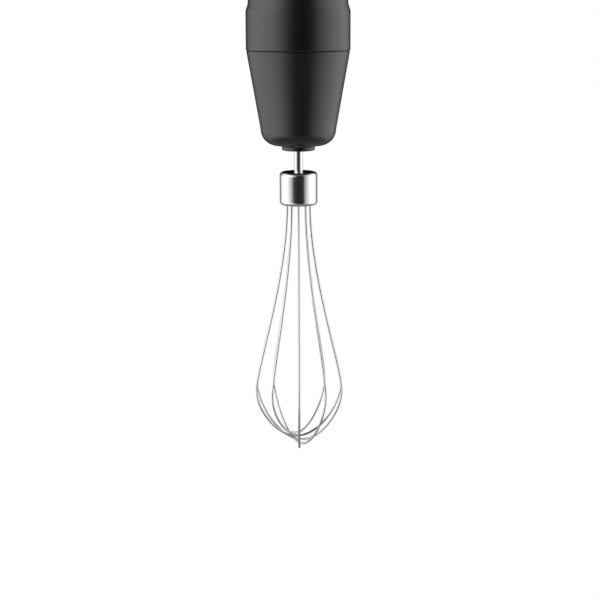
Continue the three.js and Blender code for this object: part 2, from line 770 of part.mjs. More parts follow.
// Loop 1 runs front to back and hangs lowest; each next one is turned on and lies a step higher.
function wireLoop(index) {
  const tip = BALLOON_TIP + index * LOOP_STEP;
  const path = new THREE.CurvePath();
  loopSide(tip, 1).forEach((curve) => path.add(curve));
  loopSide(tip, -1).reverse().forEach((curve) => path.add(reversed(curve)));
  return aroundZ(wire(path, WIRE_RADIUS, 44, 5), (180 * index) / LOOPS);
}

// ---------------------------------------------------------------- assembly

const blender = new THREE.Group();

function subassembly(pieces) {
  const group = new THREE.Group();
  for (const [name, solid, look] of pieces) node(group, name, solid, look);
  blender.add(group);
}

subassembly([
  ["front_shell", frontShell(), blackPlastic],
  ["rear_shell", rearShell(), blackPlastic],
  ["top_cap", topCap(), blackPlastic],
  ["cord_gland", cordGland(), softBlack],
  ["housing_screw_left", housingScrew(-BOSS_X), zincSteel],
  ["housing_screw_right", housingScrew(BOSS_X), zincSteel],
  ["locking_ring", lockingRing(), darkPlastic],
  ["motor_cradle", motorCradle(), darkPlastic],
  ["shaft_seal", shaftSeal(), softBlack],
  ["release_spring_right", releaseSpring(), zincSteel],
  ["release_spring_left", opposite(releaseSpring()), zincSteel],
]);

subassembly([
  ["motor_can", motorCan(), zincSteel],
  ["motor_end_bell", motorEndBell(), ivoryPlastic],
  ["magnet_right", magnet(0), ferrite],
  ["magnet_left", magnet(Math.PI), ferrite],
  ["lower_bearing", ring(SHAFT_RADIUS + GAP, 5, CAN_BOTTOM + 0.3, CAN_BOTTOM + 4.5, SMALL_ROUND), polishedSteel],
  ["upper_bearing", ring(SHAFT_RADIUS + GAP, 4.5, BELL_TOP - 4.5, BELL_TOP - 0.5, SMALL_ROUND), polishedSteel],
  ["brush_rear", brush(), graphite],
  ["brush_front", opposite(brush()), graphite],
  ["brush_spring_rear", brushSpring(), bronze],
  ["brush_spring_front", opposite(brushSpring()), bronze],
  ["lower_motor_mount", lowerMotorMount(), softBlack],
  ["upper_motor_mount", upperMotorMount(), softBlack],
]);

subassembly([
  ["motor_shaft", rod(SHAFT_RADIUS, 8.3, 90), polishedSteel],
  ["armature_core", armatureCore(), darkSteel],
  ["armature_windings", armatureWindings(), copper],
  ["commutator", ring(SHAFT_RADIUS + GAP, 6.2, 76, 82, 24), copper],
  ["cooling_fan", coolingFan(), greyPlastic],
  ["drive_dog", driveDog(), greyPlastic],
]);

subassembly([
  ["circuit_board", circuitBoard(), boardGreen],
  ["suppression_capacitor", box([-7, 7], [BOARD_FRONT + 1.9, 12], [100, 116]), capacitorYellow],
  ["rectifier", box([-6, 6], [BOARD_FRONT + 1.9, 7], [124, 134]), darkPlastic],
  ["speed_switch", buttonSwitch(BUTTONS.speed), darkPlastic],
  ["turbo_switch", buttonSwitch(BUTTONS.turbo), darkPlastic],
  ["speed_button", button(BUTTONS.speed), softBlack],
  ["turbo_button", button(BUTTONS.turbo), softBlack],
  ["speed_button_spring", buttonSpring(BUTTONS.speed), zincSteel],
  ["turbo_button_spring", buttonSpring(BUTTONS.turbo), zincSteel],
  ["release_lever_right", releaseLever(), softBlack],
  ["release_lever_left", opposite(releaseLever()), softBlack],
]);

subassembly([
  ["gearbox_housing", gearboxHousing(), blackPlastic],
  ["gearbox_cover", gearboxCover(), darkPlastic],
  ["cover_screw_rear", coverScrew(), zincSteel],
  ["cover_screw_front", opposite(coverScrew()), zincSteel],
  ["input_bush", inputBush(), bronze],
  ["input_pinion", inputPinion(), ivoryPlastic],
  ["ring_gear", ringGear(), ivoryPlastic],
  ["planet_gear_1", planetGear(0), ivoryPlastic],
  ["planet_gear_2", planetGear(120), ivoryPlastic],
  ["planet_gear_3", planetGear(240), ivoryPlastic],
  ["planet_carrier", planetCarrier(), greyPlastic],
  ["output_bush", outputBush(), bronze],
]);

subassembly([
  ["whisk_shaft", whiskShaft(), polishedSteel],
  ["whisk_collar", whiskCollar(), polishedSteel],
  ["wire_holder", wireHolder(), softBlack],
  ...Array.from({ length: LOOPS }, (_, i) => [`wire_loop_${i + 1}`, wireLoop(i), wireSteel]),
]);

blender.position.z = -GRIP_CENTRE;

export default blender;
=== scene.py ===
"""Immersion blender with a whisk attachment: its visible pieces, their finishes and the stage.

Heights are counted in millimetres from the seam between the motor unit and the whisk gearbox, upwards.
The front, with the two buttons, faces -Y.
"""

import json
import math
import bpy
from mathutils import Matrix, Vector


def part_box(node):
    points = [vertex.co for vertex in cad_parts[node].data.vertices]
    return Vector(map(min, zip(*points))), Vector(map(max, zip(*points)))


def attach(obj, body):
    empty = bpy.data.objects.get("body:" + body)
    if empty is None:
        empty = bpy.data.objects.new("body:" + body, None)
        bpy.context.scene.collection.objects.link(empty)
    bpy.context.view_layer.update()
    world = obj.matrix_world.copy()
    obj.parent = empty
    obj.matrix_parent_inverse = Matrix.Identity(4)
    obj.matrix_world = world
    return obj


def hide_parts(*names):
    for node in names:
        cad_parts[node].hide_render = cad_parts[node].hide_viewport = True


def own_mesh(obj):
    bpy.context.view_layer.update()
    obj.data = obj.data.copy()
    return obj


bl_info = {
    "name": "Immersion Blender",
    "version": (1, 0, 0),
    "blender": (4, 5, 0),
    "location": "View3D > Sidebar > Immersion Blender",
    "description": "Builds the pieces, finishes and stage of an immersion blender with a whisk",
    "category": "Add Mesh",
}

import bpy
from bpy.props import FloatProperty, IntProperty, PointerProperty, StringProperty
from bpy.types import Node, NodeSocket, Operator, Panel, PropertyGroup
from mathutils import Vector

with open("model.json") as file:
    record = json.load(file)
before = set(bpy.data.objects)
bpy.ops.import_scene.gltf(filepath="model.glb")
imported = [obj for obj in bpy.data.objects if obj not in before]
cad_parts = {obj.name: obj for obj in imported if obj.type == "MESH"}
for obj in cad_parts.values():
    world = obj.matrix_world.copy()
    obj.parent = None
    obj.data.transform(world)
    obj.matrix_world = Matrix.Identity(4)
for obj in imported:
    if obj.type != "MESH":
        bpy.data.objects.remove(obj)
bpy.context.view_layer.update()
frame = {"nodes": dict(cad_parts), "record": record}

MM = 0.001
GAP = 0.3 * MM  # between two pieces that touch
WELD = 0.001 * MM  # closer corners are one
UP = Vector((0, 0, 1))
SEAM = (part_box("front_shell")[0].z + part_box("gearbox_housing")[1].z) / 2


def up(height):
    """The height in the frame of a place so many millimetres above the seam."""
    return SEAM + height * MM


# ------------------------------------------------------------------ sizes and colours


def length(name, description, default):
    settings = {"default": default, "min": 0, "unit": "LENGTH", "precision": 5}
    return FloatProperty(name=name, description=description, **settings)


def ratio(name, description, default):
    return FloatProperty(name=name, description=description, default=default, min=0)


def paint(name, description, default):
    described = description + ", as an sRGB hex value"
    return StringProperty(name=name, description=described, default=default)


class HandleSizes(PropertyGroup):
    """Sizes of the motor unit's housing."""

    band_radius: length("Band radius", "Radius of the band at the seam", -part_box("front_shell")[0].y)
    grip_depth: length("Grip depth", "Half depth of the grip, front to back", 24.5 * MM)
    head_depth: length("Head depth", "Half depth at the top of the handle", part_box("top_cap")[1].y)
    wall: length("Wall", "Thickness of the moulded wall", 2.2 * MM)
    band_pinch: ratio("Band pinch", "Width over depth of the band", 0.999)
    ledge_pinch: ratio("Ledge pinch", "Width over depth above the band", 0.955)
    grip_pinch: ratio("Grip pinch", "Width over depth of the grip", 0.915)
    button_stretch: ratio("Button stretch", "Height of a button over its width", 1.25)


class GearboxSizes(PropertyGroup):
    """Sizes of the whisk gearbox."""

    cone_radius: length("Cone radius", "Radius at the seam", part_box("gearbox_housing")[1].y)
    cone_slope: ratio("Cone slope", "Radius lost per unit of height", 0.176)
    corner: length("Corner", "Radius of the rounded lower corner", 8.6 * MM)
    neck_radius: length("Neck radius", "Radius of the neck round the whisk shaft", 8.9 * MM)
    spigot_radius: length("Spigot radius", "Radius of the spigot that enters the motor unit", 19 * MM)


class WhiskSizes(PropertyGroup):
    """Sizes of the whisk."""

    shaft_radius: length("Shaft radius", "Radius of the steel shaft", 2.4 * MM)
    collar_radius: length("Collar radius", "Radius of the polished collar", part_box("whisk_collar")[1].x)
    wire_radius: length("Wire radius", "Radius of the spring wire", 0.62 * MM)
    wire_circle: length("Wire circle", "Radius on which the wires leave the collar", 6.5 * MM)
    balloon_radius: length("Balloon radius", "Largest radius of the wire balloon", 24.7 * MM)
    loops: IntProperty(name="Loops", description="Wire loops, two legs each", default=5, min=1)
    loop_step: length("Loop step", "Height from one loop's tip to the next", 2.1 * MM)


class FinishColours(PropertyGroup):
    """Base colours of the finishes."""

    satin_abs: paint("Satin ABS", "Moulded black housing", "#080809")
    elastomer: paint("Elastomer", "Overmoulded black rubber", "#0b0b0b")
    nylon: paint("Nylon", "Dark glass-filled nylon", "#26272a")
    grey_nylon: paint("Grey nylon", "Grey glass-filled nylon", "#6b6e72")
    acetal: paint("Acetal", "Natural acetal gears", "#ddd7c6")
    steel: paint("Steel", "Polished stainless steel", "#cececd")
    zinc: paint("Zinc", "Zinc-plated steel", "#a9acb0")
    copper: paint("Copper", "Enamelled copper wire", "#b0602f")
    bronze: paint("Bronze", "Sintered bronze", "#a37a40")
    ferrite: paint("Ferrite", "Sintered ferrite magnet", "#303033")
    carbon: paint("Carbon", "Pressed carbon brush", "#242425")
    laminations: paint("Laminations", "Lacquered electrical steel", "#54575b")
    solder_mask: paint("Solder mask", "Green solder mask on glass epoxy", "#17602f")
    epoxy_yellow: paint("Yellow epoxy", "Capacitor case", "#d9a224")
    floor: paint("Floor", "Pale matt floor", "#f4f4f4")


# ------------------------------------------------------------------ modelling by operators


def deselect():
    if bpy.context.mode != "OBJECT":
        bpy.ops.object.mode_set(mode="OBJECT")
    bpy.ops.object.select_all(action="DESELECT")


def pick(piece):
    """Makes a piece the only selected one."""
    deselect()
    piece.select_set(True)
    bpy.context.view_layer.objects.active = piece


def open_mesh(piece):
    """Enters edit mode with the whole mesh selected."""
    pick(piece)
    bpy.ops.object.mode_set(mode="EDIT")
    bpy.ops.mesh.select_all(action="SELECT")


def close_mesh():
    """Merges doubles, turns the faces outwards and leaves edit mode."""
    bpy.ops.mesh.select_all(action="SELECT")
    bpy.ops.mesh.remove_doubles(threshold=WELD)
    bpy.ops.mesh.normals_make_consistent(inside=False)
    bpy.ops.object.mode_set(mode="OBJECT")


def apply(piece, kind, **settings):
    """Adds a modifier with its settings and applies it."""
    pick(piece)
    bpy.ops.object.modifier_add(type=kind)
    modifier = piece.modifiers[-1]
    for name, value in settings.items():
        setattr(modifier, name, value)
    bpy.ops.object.modifier_apply(modifier=modifier.name)


def smooth(piece, angle=32):
    pick(piece)
    bpy.ops.object.shade_smooth_by_angle(angle=math.radians(angle))
    apply(piece, "WEIGHTED_NORMAL", keep_sharp=True)


def soften(piece, width, segments=3, angle=35):
    """Rounds the edges sharper than the angle, as a mould or a tumbler does."""
    apply(
        piece,
        "BEVEL",
        width=width,
        segments=segments,
        limit_method="ANGLE",
        angle_limit=math.radians(angle),
        harden_normals=False,
    )


def point(name):
    """A mesh of one vertex at the origin, in edit mode."""
    deselect()
    bpy.ops.mesh.primitive_plane_add(size=MM, location=(0, 0, 0))
    piece = bpy.context.active_object
    piece.name = name
    piece.data.name = name
    bpy.ops.object.mode_set(mode="EDIT")
    bpy.ops.mesh.select_all(action="SELECT")
    bpy.ops.mesh.merge(type="CENTER")
    return piece


def draw_chain(corners):
    """Moves the one vertex to the first corner and extrudes it through the others."""
    place = Vector((0, 0, 0))
    for index, corner in enumerate(corners):
        step = Vector(corner) - place
        if index == 0:
            bpy.ops.transform.translate(value=step)
        else:
            bpy.ops.mesh.extrude_region_move(TRANSFORM_OT_translate={"value": step})
        place = Vector(corner)


def turned(name, profile, steps=96, centre=(0, 0, 0), axis=UP, out=(1, 0, 0)):
    """Spins a profile of (radius, place along the axis); one off the axis closes on itself."""
    centre, axis, out = Vector(centre), Vector(axis), Vector(out)
    closed = profile if profile[0][0] == 0 else [*profile, profile[0]]
    piece = point(name)
    draw_chain([centre + out * radius + axis * along for radius, along in closed])
    bpy.ops.mesh.select_all(action="SELECT")
    bpy.ops.mesh.spin(steps=steps, angle=2 * math.pi, center=centre, axis=axis, use_auto_merge=True)
    close_mesh()
    return piece


def lofted(name, rings, steps=128):
    """Raises an oval through rings of (half width, half depth, height), and back to the first."""
    deselect()
    bpy.ops.mesh.primitive_circle_add(vertices=steps, radius=1, location=(0, 0, 0))
    piece = bpy.context.active_object
    piece.name = name
    piece.data.name = name
    bpy.ops.object.mode_set(mode="EDIT")
    bpy.ops.mesh.select_all(action="SELECT")
    width, depth, height = rings[0]
    bpy.ops.transform.resize(value=(width, depth, 1), center_override=(0, 0, 0))
    bpy.ops.transform.translate(value=(0, 0, height))
    for next_width, next_depth, next_height in [*rings[1:], rings[0]]:
        rise = (0, 0, next_height - height)
        bpy.ops.mesh.extrude_region_move(TRANSFORM_OT_translate={"value": rise})
        scale = (next_width / width, next_depth / depth, 1)
        bpy.ops.transform.resize(value=scale, center_override=(0, 0, next_height))
        width, depth, height = next_width, next_depth, next_height
    close_mesh()
    return piece


def plate(name, corners, thickness):
    """A flat outline in X and Z, thickened along Y on both sides of the plane Y = 0."""
    piece = point(name)
    draw_chain([(x, -thickness / 2, z) for x, z in [*corners, corners[0]]])
    bpy.ops.mesh.select_all(action="SELECT")
    bpy.ops.mesh.remove_doubles(threshold=WELD)
    bpy.ops.mesh.edge_face_add()
    bpy.ops.mesh.extrude_region_move(TRANSFORM_OT_translate={"value": (0, thickness, 0)})
    close_mesh()
    return piece


def block(name, low, high):
    """A box between two corners, as a start for a cut or a small piece."""
    low, high = Vector(low), Vector(high)
    deselect()
    bpy.ops.mesh.primitive_cube_add(size=1, location=(0, 0, 0))
    piece = bpy.context.active_object
    piece.name = name
    piece.data.name = name
    open_mesh(piece)
    bpy.ops.transform.resize(value=high - low, center_override=(0, 0, 0))
    bpy.ops.transform.translate(value=(low + high) / 2)
    close_mesh()
    return piece


def copied(piece, name, turn=None):
    """A copy with its own mesh, turned about Z by an angle in degrees if one is given."""
    pick(piece)
    bpy.ops.object.duplicate()
    twin = bpy.context.active_object
    twin.name = name
    twin.data.name = name
    if turn is not None:
        twin.rotation_euler = (0, 0, math.radians(turn))
        bpy.ops.object.transform_apply(location=False, rotation=True, scale=False)
    return twin


def carve(piece, *cutters, operation="DIFFERENCE"):
    """Cuts the cutters out of the piece, and removes them."""
    for cutter in cutters:
        apply(piece, "BOOLEAN", object=cutter, operation=operation, solver="EXACT")
        bpy.data.objects.remove(cutter)


def fuse(piece, *others):
    """Joins pieces into one object whose shells overlap."""
    carve(piece, *others, operation="UNION")


def arc(radius, along, size, start, stop, count):
    """Points of a round stretch of a profile, angles in degrees from outwards towards up."""
    angles = [math.radians(start + (stop - start) * i / count) for i in range(count + 1)]
    return [(radius + size * math.cos(a), along + size * math.sin(a)) for a in angles]


def ease(value, start, stop):
    t = min(max((value - start) / (stop - start), 0), 1)
    return t * t * (3 - 2 * t)


def seat(piece, body, finish, nodes=()):
    """Gives a finished piece its material and its place under its body's empty, and hides the CAD nodes
    it stands for.
    """
    piece.data.materials.clear()
    piece.data.materials.append(finish)
    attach(piece, body)
    if nodes:
        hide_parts(*nodes)
    return piece


# ------------------------------------------------------------------ finishes


def linear(hex_colour):
    """An sRGB hex value as linear red, green, blue and alpha."""
    channels = [int(hex_colour[i : i + 2], 16) / 255 for i in (1, 3, 5)]
    return (*[c / 12.92 if c <= 0.04045 else ((c + 0.055) / 1.055) ** 2.4 for c in channels], 1.0)


def shaded(colour, factor):
    return (*[min(c * factor, 1.0) for c in colour[:3]], 1.0)


def add_node(tree, kind, settings=None, inputs=None):
    """Adds a node. An input is a constant, an output to link, or a node for its first output."""
    node = tree.nodes.new(kind)
    for name, value in (settings or {}).items():
        setattr(node, name, value)
    for name, value in (inputs or {}).items():
        source = value.outputs[0] if isinstance(value, Node) else value
        if isinstance(source, NodeSocket):
            tree.links.new(source, node.inputs[name])
        else:
            node.inputs[name].default_value = source
    return node


def start_finish(name, **surface):
    """A material with only a Principled surface; returns it with its tree, surface and coordinates."""
    material = bpy.data.materials.new(name)
    material.use_nodes = True
    tree = material.node_tree
    tree.nodes.clear()
    shader = add_node(tree, "ShaderNodeBsdfPrincipled", inputs=surface)
    add_node(tree, "ShaderNodeOutputMaterial", inputs={"Surface": shader})
    place = add_node(tree, "ShaderNodeTexCoord").outputs["Object"]
    return material, tree, shader, place


def vary(tree, shader, value, tints=None, rough=None, relief=None, usual=(0.3, 0.7)):
    """Lets a pattern, mostly between its usual values, vary a surface's colour, roughness and relief."""
    spread = {"Value": value, "From Min": usual[0], "From Max": usual[1]}
    if tints:
        share = add_node(tree, "ShaderNodeMapRange", inputs=spread)
        colours = {0: share, 6: tints[0], 7: tints[1]}
        mix = add_node(tree, "ShaderNodeMix", {"data_type": "RGBA"}, colours)
        tree.links.new(mix.outputs[2], shader.inputs["Base Color"])
    if rough:
        spread.update({"To Min": rough[0], "To Max": rough[1]})
        level = add_node(tree, "ShaderNodeMapRange", inputs=spread)
        tree.links.new(level.outputs[0], shader.inputs["Roughness"])
    if relief:
        shape = {"Height": value, "Distance": relief[0], "Strength": relief[1]}
        bump = add_node(tree, "ShaderNodeBump", inputs=shape)
        tree.links.new(bump.outputs[0], shader.inputs["Normal"])


def grained(tree, shader, place, grain, detail=2.0, stretch=(1, 1, 1), **change):
    """Varies a surface with an uneven pattern whose patches are about one grain across, in metres."""
    mapped = add_node(tree, "ShaderNodeMapping", inputs={"Vector": place, "Scale": stretch})
    settings = {"Vector": mapped, "Scale": 1 / grain, "Detail": detail, "Roughness": 0.5}
    vary(tree, shader, add_node(tree, "ShaderNodeTexNoise", inputs=settings).outputs["Fac"], **change)


def satin_abs(colours):
    """ABS moulded against a spark-eroded tool: a soft sheen broken by a very fine even grain."""
    colour = linear(colours.satin_abs)
    surface = {"IOR": 1.5, "Coat Weight": 0.35, "Coat Roughness": 0.26}
    material, tree, shader, place = start_finish("satin_abs", **surface)
    tints = (shaded(colour, 0.85), shaded(colour, 1.2))
    grained(tree, shader, place, 18 * MM, 3.0, tints=tints, rough=(0.27, 0.33))
    # The grain is really about 0.1 mm; it is drawn at 0.35 mm so that it still shows.
    grained(tree, shader, place, 0.35 * MM, relief=(0.012 * MM, 0.5))
    return material


def elastomer(colours):
    """Overmoulded thermoplastic rubber: dull, with a peachy bloom at grazing angles."""
    colour = linear(colours.elastomer)
    surface = {"IOR": 1.5, "Sheen Weight": 0.12, "Sheen Roughness": 0.5}
    material, tree, shader, place = start_finish("elastomer", **surface)
    tints = (shaded(colour, 0.7), shaded(colour, 1.5))
    grained(tree, shader, place, 0.45 * MM, tints=tints, rough=(0.5, 0.62), relief=(0.03 * MM, 0.6))
    return material


def filled_nylon(name, hex_colour):
    """Glass-filled nylon: short fibres show as fine streaks in a dull surface."""
    colour = linear(hex_colour)
    material, tree, shader, place = start_finish(name, IOR=1.53)
    change = {"tints": (shaded(colour, 0.75), shaded(colour, 1.3)), "rough": (0.42, 0.58)}
    grained(tree, shader, place, 0.5 * MM, 3.0, (1, 1, 0.3), relief=(0.02 * MM, 0.6), **change)
    return material


def natural_acetal(colours):
    """Unfilled acetal: ivory, waxy and slightly translucent-looking, with faint flow marks."""
    colour = linear(colours.acetal)
    depth = (1.2 * MM, 1.0 * MM, 0.8 * MM)
    surface = {"IOR": 1.48, "Subsurface Weight": 0.08, "Subsurface Radius": depth}
    material, tree, shader, place = start_finish("natural_acetal", **surface)
    tints = (shaded(colour, 0.9), shaded(colour, 1.05))
    grained(tree, shader, place, 6 * MM, 4.0, (1, 1, 2), tints=tints, rough=(0.32, 0.45))
    return material


def polished_steel(colours):
    """Stainless steel buffed while it turns: a mirror with hair-fine rings round the axis."""
    colour = linear(colours.steel)
    material, tree, shader, place = start_finish("polished_steel", Metallic=1.0)
    grained(tree, shader, place, 9 * MM, 3.0, tints=(shaded(colour, 0.97), shaded(colour, 1.02)))
    # Buffing lines are a few hundredths of a millimetre apart; they are drawn at 0.25 mm.
    rings = (0.02, 0.02, 1)
    grained(tree, shader, place, 0.25 * MM, 2.0, rings, rough=(0.06, 0.13), relief=(0.002 * MM, 0.35))
    return material


def spring_wire(colours):
    """Drawn stainless wire: bright, with die lines that run along the wire."""
    colour = linear(colours.steel)
    material, tree, shader, place = start_finish("spring_wire", Metallic=1.0)
    tints = (shaded(colour, 0.9), shaded(colour, 1.0))
    grained(tree, shader, place, 0.3 * MM, 2.0, (1, 1, 0.06), tints=tints, rough=(0.12, 0.22))
    return material


def zinc_plate(colours):
    """Bright zinc on steel: softly mottled by the crystals of the plating."""
    colour = linear(colours.zinc)
    material, tree, shader, place = start_finish("zinc_plate", Metallic=1.0)
    mottle = add_node(tree, "ShaderNodeTexVoronoi", inputs={"Vector": place, "Scale": 1 / (1.6 * MM)})
    tints = (shaded(colour, 0.85), shaded(colour, 1.1))
    vary(tree, shader, mottle.outputs["Distance"], tints=tints, rough=(0.3, 0.44), usual=(0, 0.8))
    return material


def layered(name, hex_colour, pitch, metallic, rough, dark):
    """A stack of thin sheets or turns of wire, one pitch apart: dark lines between bright ones, the dark
    joints between sheets and painted shade in the grooves between round turns of wire.
    """
    colour = linear(hex_colour)
    material, tree, shader, place = start_finish(name, Metallic=metallic, Roughness=rough)
    settings = {"wave_type": "BANDS", "bands_direction": "Z", "wave_profile": "SIN"}
    # One wave of the texture is 2 pi / 20 of its unit.
    bands = {"Vector": place, "Scale": 2 * math.pi / 20 / pitch, "Distortion": 0.6}
    wave = add_node(tree, "ShaderNodeTexWave", settings, bands)
    # The darker copy of the colour is the dark joint between sheets and painted shade in the grooves
    # between turns of wire.
    tints = (shaded(colour, dark), colour)
    vary(tree, shader, wave.outputs["Fac"], tints=tints, relief=(0.08 * MM, 0.8), usual=(0, 1))
    return material


def pressed_powder(name, hex_colour, grain, metallic, rough):
    """Powder pressed and sintered: full of fine open pores."""
    colour = linear(hex_colour)
    material, tree, shader, place = start_finish(name, Metallic=metallic)
    tints = (shaded(colour, 0.6), shaded(colour, 1.15))
    change = {"tints": tints, "rough": (rough - 0.08, rough + 0.08)}
    grained(tree, shader, place, grain, 4.0, relief=(0.05 * MM, 0.7), **change)
    return material


def circuit_board(colours):
    """Green solder mask over copper tracks: the tracks show as slightly raised, lighter bands."""
    colour = linear(colours.solder_mask)
    material, tree, shader, place = start_finish("circuit_board", IOR=1.5, Roughness=0.35)
    parts = add_node(tree, "ShaderNodeSeparateXYZ", inputs={"Vector": place}).outputs
    sheet = add_node(tree, "ShaderNodeCombineXYZ", inputs={"X": parts["X"], "Y": parts["Z"]})
    sizes = {"Vector": sheet, "Scale": 1.0, "Mortar Size": 0.45 * MM, "Mortar Smooth": 0.1}
    sizes.update({"Brick Width": 7 * MM, "Row Height": 3.2 * MM})
    tracks = add_node(tree, "ShaderNodeTexBrick", inputs=sizes).outputs["Fac"]
    tints = (colour, shaded(colour, 1.7))
    vary(tree, shader, tracks, tints=tints, relief=(0.05 * MM, 1.0), usual=(0, 1))
    return material


def cast_epoxy(colours):
    """Epoxy-filled box: glossy, with faint waves from the mould."""
    colour = linear(colours.epoxy_yellow)
    material, tree, shader, place = start_finish("cast_epoxy", IOR=1.55)
    tints = (shaded(colour, 0.93), shaded(colour, 1.04))
    grained(tree, shader, place, 3 * MM, tints=tints, rough=(0.22, 0.34))
    return material


def make_finishes(colours):
    """The finish of each of the record's material slots."""
    return {
        "black_plastic": satin_abs(colours),
        "soft_black": elastomer(colours),
        "dark_plastic": filled_nylon("dark_nylon", colours.nylon),
        "grey_plastic": filled_nylon("grey_nylon", colours.grey_nylon),
        "ivory_plastic": natural_acetal(colours),
        "polished_steel": polished_steel(colours),
        "wire_steel": spring_wire(colours),
        "zinc_steel": zinc_plate(colours),
        "dark_steel": layered("lamination_stack", colours.laminations, 0.5 * MM, 0.9, 0.45, 0.35),
        "copper": layered("enamelled_copper", colours.copper, 0.45 * MM, 0.9, 0.3, 0.4),
        "bronze": pressed_powder("sintered_bronze", colours.bronze, 0.25 * MM, 1.0, 0.45),
        "ferrite": pressed_powder("sintered_ferrite", colours.ferrite, 0.4 * MM, 0.0, 0.72),
        "graphite": pressed_powder("pressed_carbon", colours.carbon, 0.3 * MM, 0.1, 0.62),
        "board_green": circuit_board(colours),
        "capacitor_yellow": cast_epoxy(colours),
    }


FINISHES = {}


# ------------------------------------------------------------------ handle


# Heights in millimetres: the band ends and the ledge ends, the shells meet the cap, the cap's top.
BAND_TOP, LEDGE_TOP, CAP_JOINT, CAP_TOP = 20, 25, 160, 172


def handle_depth(sizes, height):
    """Half depth of the handle, front to back, at a height in millimetres."""
    waist = sizes.grip_depth - sizes.band_radius
    waisted = sizes.band_radius + waist * ease(height, LEDGE_TOP, 80)
    return waisted + (sizes.head_depth - sizes.grip_depth) * ease(height, 115, 156)


def handle_width(sizes, height):
    """Half width of the handle, side to side, at a height in millimetres."""
    step = sizes.ledge_pinch - sizes.band_pinch
    waist = sizes.grip_pinch - sizes.ledge_pinch
    ledge = sizes.band_pinch + step * ease(height, BAND_TOP, LEDGE_TOP)
    pinch = ledge + waist * (ease(height, LEDGE_TOP, 72) - ease(height, 118, 156))
    return handle_depth(sizes, height) * pinch


def handle_ring(sizes, height, inset):
    """One ring of the housing, its lower and upper edges broken by a small chamfer."""
    to_edge = max(0.45 - height, height - (CAP_JOINT - 0.3), 0)
    less = inset if inset else to_edge * 0.7 * MM
    return (handle_width(sizes, height) - less, handle_depth(sizes, height) - less, up(height))


def handle_heights():
    """Close rings at the chamfer and the ledge, wider ones along the grip."""
    foot = [0.1, 0.25, 0.45, 5, 10, 15, BAND_TOP - 0.4]
    ledge = [BAND_TOP + 0.4 * i for i in range(13)]
    grip = [LEDGE_TOP + 1 + 2.68 * i for i in range(50)]
    return [*foot, *ledge, *grip, CAP_JOINT - 0.3, CAP_JOINT - 0.05]


# In millimetres: each button's centre height and half width, the housing screws, the release pads
# with the levers' pivots and springs, and the rear vents.
BUTTONS = {"speed": (112, 8.0), "turbo": (134, 6.6)}
BOSS_X, BOSS_HEIGHT = 15.5, 148
PAD_LOW, PAD_HIGH, PAD_WIDTH = 27.2, 46.8, 9.0
PIVOT_X, PIVOT_HEIGHT, SPRING_HEIGHT = 22.8, 20, 39
VENTS = ((25, 35), (118, 128))


def oval_plug(name, sizes, height, radius, near, far, steps=64):
    """A plug through the front wall, taller than wide, for a button's opening."""
    profile = [(0, near * MM), (radius * MM, near * MM), (radius * MM, far * MM), (0, far * MM)]
    plug = turned(name, profile, steps, (0, 0, up(height)), (0, -1, 0), (1, 0, 0))
    open_mesh(plug)
    centre = (0, 0, up(height))
    bpy.ops.transform.resize(value=(1, 1, sizes.button_stretch), center_override=centre)
    close_mesh()
    return plug


def vent_cutters(low, high):
    """Five upright slots with round ends through the rear wall."""
    slots = []
    for index in range(5):
        x = (index - 2) * 5
        near, far = ((x - 1.1) * MM, 15 * MM, up(low)), ((x + 1.1) * MM, 30 * MM, up(high))
        slot = block("vent_cut", near, far)
        soften(slot, 1.05 * MM, 4)
        slots.append(slot)
    return slots


def tongue(sizes, inset, thickness, half_width):
    """Two strips inside the wall, one along each parting line, that close the joint to light."""
    heights = [height for height in handle_heights() if 4 < height < 158.5]
    outer = [handle_ring(sizes, height, inset) for height in heights]
    inner = [handle_ring(sizes, height, inset + thickness) for height in reversed(heights)]
    strips = lofted("tongue", [*outer, *inner])
    low, high = (-40 * MM, -half_width, up(-5)), (40 * MM, half_width, up(CAP_JOINT + 5))
    limit = block("tongue_limit", low, high)
    carve(strips, limit, operation="INTERSECT")
    return strips


def half_shell(whole, sizes, name, side):
    """One half of the housing, cut at the parting plane, with its windows for the release pads."""
    shell = copied(whole, name)
    open_mesh(shell)
    bpy.ops.mesh.bisect(
        plane_co=(0, side * GAP / 2, 0),
        plane_no=(0, 1, 0),
        use_fill=True,
        clear_inner=side > 0,
        clear_outer=side < 0,
    )
    close_mesh()
    if side < 0:
        fuse(shell, tongue(sizes, 0.8 * MM, 0.7 * MM, 0.8 * MM))
    else:
        carve(shell, tongue(sizes, 0.65 * MM, 1.0 * MM, 0.95 * MM))
    half = (PAD_WIDTH / 2 + 0.4) * MM
    low, high = up(PAD_LOW - 0.6), up(PAD_HIGH + 0.6)
    for window in ((-40 * MM, -18 * MM), (18 * MM, 40 * MM)):
        carve(shell, block("window_cut", (window[0], -half, low), (window[1], half, high)))
    return shell


def screw_boss(sizes, x, side):
    """A boss for a housing screw, trimmed to the inside of the wall."""
    reach = [(0, 0.4 * MM), (3.6 * MM, 0.4 * MM), (3.6 * MM, 19 * MM), (0, 19 * MM)]
    boss = turned("boss", reach, 32, (x * MM, 0, up(BOSS_HEIGHT)), (0, side, 0), (1, 0, 0))
    heights = [BOSS_HEIGHT - 8, BOSS_HEIGHT, BOSS_HEIGHT + 8]
    keep = lofted("boss_limit", [
        (0.1 * MM, 0.1 * MM, up(heights[0])),
        *[handle_ring(sizes, h, 1.2 * MM) for h in heights],
        (0.1 * MM, 0.1 * MM, up(heights[-1])),
    ])
    carve(boss, keep, operation="INTERSECT")
    return boss


